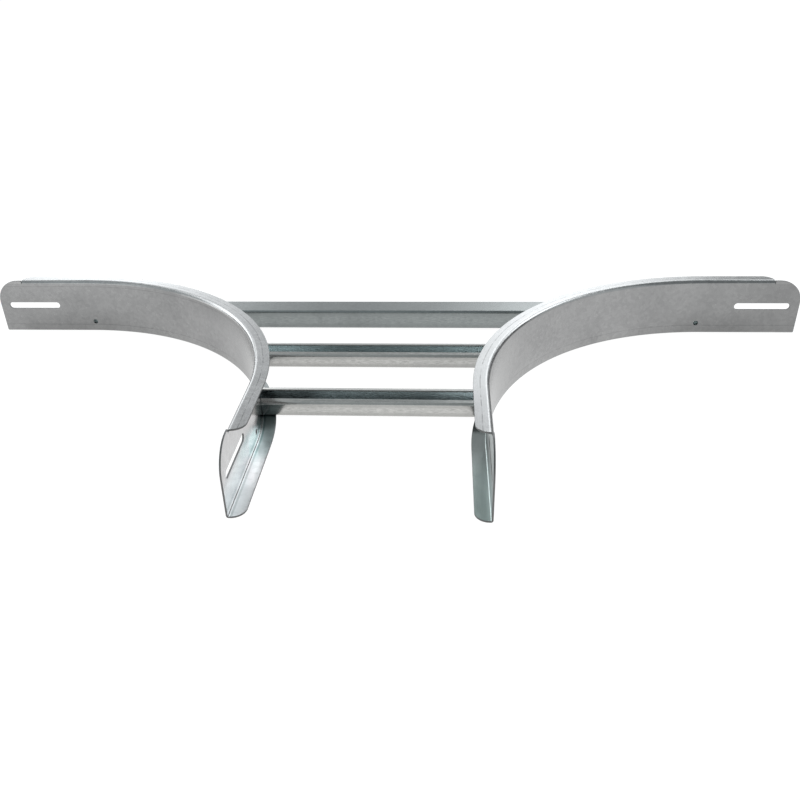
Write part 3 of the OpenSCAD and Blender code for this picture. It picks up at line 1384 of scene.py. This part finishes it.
@dataclass
class MiddleRung(Rung):
    """The longer rung one pitch further back."""

    where: str = "middle"
    near_y: float = (REAR_Y - RUNG_PITCH) * MM

    def outside(self) -> ZincFinish:
        """Dress the outer face: streaked walls, and painted shade and light that make the near lip
        lighten to the right and dim the near wall's left end.

        Returns:
            The finish.
        """
        # Darker tones than the front rung's outer zinc: the same zinc, with painted shade
        return replace(self.outer_zinc((0.405, 0.404, 0.392), (0.315, 0.317, 0.308)), shades=(
            Shade(Run.X, (0.02, -0.11), self.near_lip, 0.24),
            Shade(Run.X, (-0.02, 0.06), self.near_lip, -0.14),
            Shade(Run.X, (-0.08, -0.12), self.near_wall, 0.1)))

    def inside(self) -> ZincFinish:
        """Dress the inner face, with painted light that makes it lightest at its left end.

        Returns:
            The finish.
        """
        whole = (-WIDE, WIDE)
        # Slightly lighter tones than the front rung's inner zinc: the same zinc, with painted
        # light
        return replace(self.inner_zinc((0.469, 0.512, 0.516), (0.441, 0.484, 0.488)), shades=(
            Shade(Run.X, (-0.035, -0.12), whole, -0.37), Shade(Run.X, (0.02, 0.09), whole, -0.09)))


@dataclass
class RearRung(Rung):
    """The deeper rung across the mouth, cut square, with its closed side up."""

    where: str = "rear"
    near_y: float = REAR_Y * MM
    open_side: OpenSide = OpenSide.DOWN
    coped: bool = False
    height: float = 21 * MM
    lip_rise: float = 0.0
    # Span of X from which the wall's ends behind the webs turn matt and take painted light
    matt_painted_light_ends: Point = (0.318, 0.324)

    def outside(self) -> ZincFinish:
        """Dress the whole rung: a dark top that painted shade dims further toward the right, a
        streaked wall that painted shade dims toward the left, and matt ends behind the webs that
        take painted light.

        Returns:
            The finish.
        """
        # Painted light on the matt wall ends, in the narrow gap behind the webs' small holes
        ends = [Shade(Run.X, tuple(side.value * x for x in self.matt_painted_light_ends), self.near_wall,
                      depth=-2.5, rough=0.9) for side in Side]
        return ZincFinish(
            "rear_zinc", light=(0.255, 0.275, 0.273), dark=(0.185, 0.20, 0.199),
            rough=(0.17, 0.24), spangle=3.5 * MM, cloud=35 * MM, bump=0.005 * MM,
            lines=(RollOrPaintedLine(sum(self.near_wall) / 2, half=8 * MM, depth=-0.2, breaks=0.9),),
            shades=(Shade(Run.X, EVERYWHERE, self.closed_side, 0.39),
                    Shade(Run.X, (-0.03, 0.10), self.closed_side, 0.15),
                    Shade(Run.X, (0.10, -0.06), self.near_wall, 0.1), *ends))

    def inside(self) -> ZincFinish:
        """The same zinc as outside."""
        return self.outside()

    def edge(self) -> ZincFinish:
        """The same zinc as outside."""
        return self.outside()


@dataclass(frozen=True)
class Lamp:
    """A soft box: a rectangle of even light aimed at a point."""

    name: str
    place: Triple
    aim: Triple
    size: Point
    radiance: float
    colour: Triple = (0.97, 1.0, 1.02)

    def build(self) -> bpy.types.Object:
        """Hang the lamp.

        Returns:
            The lamp's object.
        """
        light = bpy.data.lights.new(self.name, "AREA")
        light.shape = "RECTANGLE"
        light.size, light.size_y = self.size
        light.energy = self.radiance * math.pi * self.size[0] * self.size[1]
        light.color = self.colour
        lamp = in_scene(self.name, light)
        lamp.location = self.place
        aim = Vector(self.aim) - Vector(self.place)
        lamp.rotation_euler = aim.to_track_quat("-Z", "Y").to_euler()
        lamp.visible_camera = False
        return lamp


@dataclass(frozen=True)
class Card:
    """A sheet of light or shade that shows only in reflections."""

    name: str
    tone: float

    tint = (0.97, 1.0, 1.02)

    def hang(self, points: Sequence[Sequence[float]], faces: Sequence[Sequence[int]],
             tones: Sequence[float] = ()) -> bpy.types.Object:
        """Make the card's mesh and its light.

        Args:
            points: Its corners.
            faces: Its faces.
            tones: A tone for each corner, or none for the card's even tone.

        Returns:
            The card's object.
        """
        mesh = bpy.data.meshes.new(self.name)
        mesh.from_pydata([tuple(point) for point in points], [], faces)
        card = in_scene(self.name, mesh)
        felt = bpy.data.materials.new(self.name)
        pen = emptied(felt)
        strength: Feed = self.tone
        if tones:
            mesh.attributes.new("tone", "FLOAT", "POINT").data.foreach_set("value", tones)
            strength = pen.add("ShaderNodeAttribute", attribute_name="tone").outputs["Fac"]
        glow = pen.add("ShaderNodeEmission", {"Color": (*self.tint, 1), "Strength": strength})
        pen.add("ShaderNodeOutputMaterial", {"Surface": glow.outputs[0]})
        mesh.materials.append(felt)
        card.visible_camera = False
        card.visible_shadow = False
        card.visible_diffuse = False
        return card


@dataclass(frozen=True)
class FlatCard(Card):
    """A flat card with hard edges.

    Its corners are directions in degrees: azimuth from +Y toward +X, and elevation.
    """

    corners: tuple[Point, ...]
    distance: float = 29.0

    def build(self) -> bpy.types.Object:
        """Hang the card."""
        points = [toward(*corner) * self.distance for corner in self.corners]
        return self.hang(points, [tuple(range(len(points)))])


@dataclass(frozen=True)
class Canopy(Card):
    """A dark curved card, which draws the dark lines in the folds and lips.

    It lies between two values of x, and between two angles from the front, in degrees.
    """

    across: Point
    start: float
    end: float
    radius: float = 2.2

    tint = (0.92, 1.0, 1.03)
    STEPS = 30

    def build(self) -> bpy.types.Object:
        """Hang the canopy.

        Returns:
            The canopy's object.
        """
        rim = arc((0.0, 0.0), self.radius, self.start, self.end, self.STEPS)
        points = [(x, -y, z) for x in self.across for y, z in rim]
        row = len(rim)
        faces = [(i, i + 1, row + i + 1, row + i) for i in range(row - 1)]
        return self.hang(points, faces)


@dataclass(frozen=True)
class Glow:
    """A feathered patch of light or shade on the backdrop, placed by azimuth and elevation."""

    place: Point
    spread: Point
    tone: float

    def at(self, turn: float, rise: float) -> float:
        """The tone that it adds in a direction."""
        away = ((turn - self.place[0]) / self.spread[0], (rise - self.place[1]) / self.spread[1])
        return self.tone * math.exp(-0.5 * (away[0] ** 2 + away[1] ** 2))


@dataclass(frozen=True)
class Backdrop(Card):
    """The backdrop behind the cards, which shows in the flanges and in the rear rung."""

    glows: tuple[Glow, ...]
    turns: Point = (-60, 60)
    rises: Point = (3, 43)
    distance: float = 30.0

    TURN_STEPS = 80
    RISE_STEPS = 32

    def build(self) -> bpy.types.Object:
        """Hang the backdrop.

        Returns:
            The backdrop's object.
        """
        turns = spread(*self.turns, self.TURN_STEPS)
        rises = spread(*self.rises, self.RISE_STEPS)
        spots = [(turn, rise) for turn in turns for rise in rises]
        tones = [max(0.0, self.tone + sum(glow.at(*spot) for glow in self.glows))
                 for spot in spots]
        row = len(rises)
        faces = [(i * row + j, i * row + j + 1, i * row + row + j + 1, i * row + row + j)
                 for i in range(len(turns) - 1) for j in range(row - 1)]
        return self.hang([toward(*spot) * self.distance for spot in spots], faces, tones)


@dataclass(frozen=True)
class Studio:
    """The white floor, what shows in reflections, the soft light and the camera."""

    floor_size: float = 40.0
    floor_drop: float = 0.3 * MM
    floor_white: float = 0.95
    floor_albedo: float = 0.2
    ambient: float = 0.55
    sky_tint: Triple = (0.94, 1.0, 1.02)
    camera_place: Triple = (0.0645, -0.6506, 0.3635)
    yaw: float = -3.87
    pitch: float = 29.28
    roll: float = -1.40
    focal_px: float = 785.7
    image_px: float = 800.0
    sensor_w: float = 36.0
    clip: Point = (0.01, 100.0)
    cards: tuple[Union[Canopy, Backdrop, FlatCard], ...] = (
        Canopy("left_canopy", 0.57, (-2.2, 0.0), 6, 115),
        Canopy("right_canopy", 0.42, (0.0, 2.2), 6, 118),
        Canopy("top_canopy", 0.62, (-0.6, 0.6), 118, 137),
        Backdrop("backdrop", 1.0, (Glow((10.2, 27.0), (6.2, 4.8), 4.5),
                                   Glow((-24.6, 12.9), (6.0, 5.4), 4.0),
                                   Glow((21.8, 19.5), (4.3, 4.5), -0.7))),
        FlatCard("back_dark", 0.6, ((-11, 31), (11.5, 31), (11.5, 43), (-11, 43))),
        FlatCard("back_high", 3.1, ((11.5, 29.5), (24, 29.5), (24, 42), (11.5, 42))),
        FlatCard("right_side", 2.5, ((24, 26), (62, 26), (62, 46), (40, 46), (24, 36))),
        FlatCard("right_low", 0.2, ((27, 1), (75, 1), (75, 19), (27, 19))),
        FlatCard("left_low", 2.8, ((-85, 0.5), (-40, 0.5), (-40, 13), (-85, 13))),
        FlatCard("left_side", 2.4, ((-62, 27), (-28, 27), (-28, 31), (-46, 45), (-62, 45))),
    )
    lamps: tuple[Lamp, ...] = (
        Lamp("left_box", (-1.13, 0.64, 0.51), (-0.17, 0.08, 0.06), (0.65, 0.50), 2.8),
        Lamp("right_box", (1.07, 0.63, 0.77), (0.15, 0.05, 0.06), (0.65, 0.50), 2.8),
    )

    @staticmethod
    def shown(pen: NodePen) -> Number:
        """Tell whether a ray shows the background.

        Args:
            pen: The tree's pen.

        Returns:
            1 if it is seen directly, in a reflection or through glass, else 0.
        """
        path = pen.add("ShaderNodeLightPath")
        seen = pen.math("MAXIMUM", path.outputs["Is Camera Ray"], path.outputs["Is Glossy Ray"])
        return pen.math("MAXIMUM", seen, path.outputs["Is Transmission Ray"])

    def floor(self) -> bpy.types.Object:
        """Lay the white floor, which keeps a soft shadow.

        Returns:
            The floor's object.
        """
        half, low = self.floor_size / 2, -self.floor_drop
        mesh = bpy.data.meshes.new("floor")
        mesh.from_pydata([(-half, -half, low), (half, -half, low), (half, half, low),
                          (-half, half, low)], [], [(0, 1, 2, 3)])
        floor = in_scene("floor", mesh)
        paper = bpy.data.materials.new("white_floor")
        pen = emptied(paper)
        matt = pen.add("ShaderNodeBsdfDiffuse", {"Color": (self.floor_albedo,) * 3 + (1,)})
        glow = pen.add("ShaderNodeEmission", {"Strength": self.shown(pen) * self.floor_white})
        both = pen.add("ShaderNodeAddShader", {0: matt.outputs[0], 1: glow.outputs[0]})
        pen.add("ShaderNodeOutputMaterial", {"Surface": both.outputs[0]})
        mesh.materials.append(paper)
        return floor

    def world(self) -> None:
        """Set an even ambient light, cool white in reflections and plain white behind the part."""
        world = bpy.data.worlds.new("studio")
        bpy.context.scene.world = world
        pen = emptied(world)
        back = pen.add("ShaderNodeBackground", {
            "Color": (*self.sky_tint, 1),
            "Strength": pen.remap(self.shown(pen), (0, 1), (self.ambient, 1.0))})
        plain = pen.add("ShaderNodeBackground", {"Color": (1, 1, 1, 1)})
        seen = pen.add("ShaderNodeLightPath").outputs["Is Camera Ray"]
        choice = pen.add("ShaderNodeMixShader", {0: seen, 1: back.outputs[0], 2: plain.outputs[0]})
        pen.add("ShaderNodeOutputWorld", {"Surface": choice.outputs[0]})

    def camera(self) -> bpy.types.Object:
        """Set the camera where the photograph was taken from.

        Returns:
            The camera's object.
        """
        yaw, pitch, roll = (math.radians(a) for a in (self.yaw, self.pitch, self.roll))
        ahead = Vector((math.sin(yaw) * math.cos(pitch), math.cos(yaw) * math.cos(pitch),
                        -math.sin(pitch)))
        right = Vector((math.cos(yaw), -math.sin(yaw), 0))
        up = right.cross(ahead)
        level_x = math.cos(roll) * right + math.sin(roll) * up
        level_y = -math.sin(roll) * right + math.cos(roll) * up
        data = bpy.data.cameras.new("camera")
        data.sensor_fit = "HORIZONTAL"
        data.sensor_width = self.sensor_w
        data.lens = self.focal_px / self.image_px * self.sensor_w
        data.clip_start, data.clip_end = self.clip
        camera = in_scene("camera", data)
        turn = Matrix((level_x, level_y, -ahead)).transposed().to_4x4()
        camera.matrix_world = Matrix.Translation(self.camera_place) @ turn
        bpy.context.scene.camera = camera
        return camera

    def build(self) -> None:
        """Set up floor, reflections, light and camera."""
        self.floor()
        for card in self.cards:
            card.build()
        self.world()
        for lamp in self.lamps:
            lamp.build()
        self.camera()
        bpy.context.scene.view_settings.view_transform = "Standard"


def main() -> None:
    """Build the tee's pieces and the studio around them."""
    logging.basicConfig(level=logging.INFO, format="%(message)s")
    for piece in (LeftRail(), RightRail(), FrontRung(), MiddleRung(), RearRung()):
        made = piece.build()
        LOG.info("%s: %d faces", made.name, len(made.data.polygons))
    Studio().build()


if __name__ == "__main__":
    main()
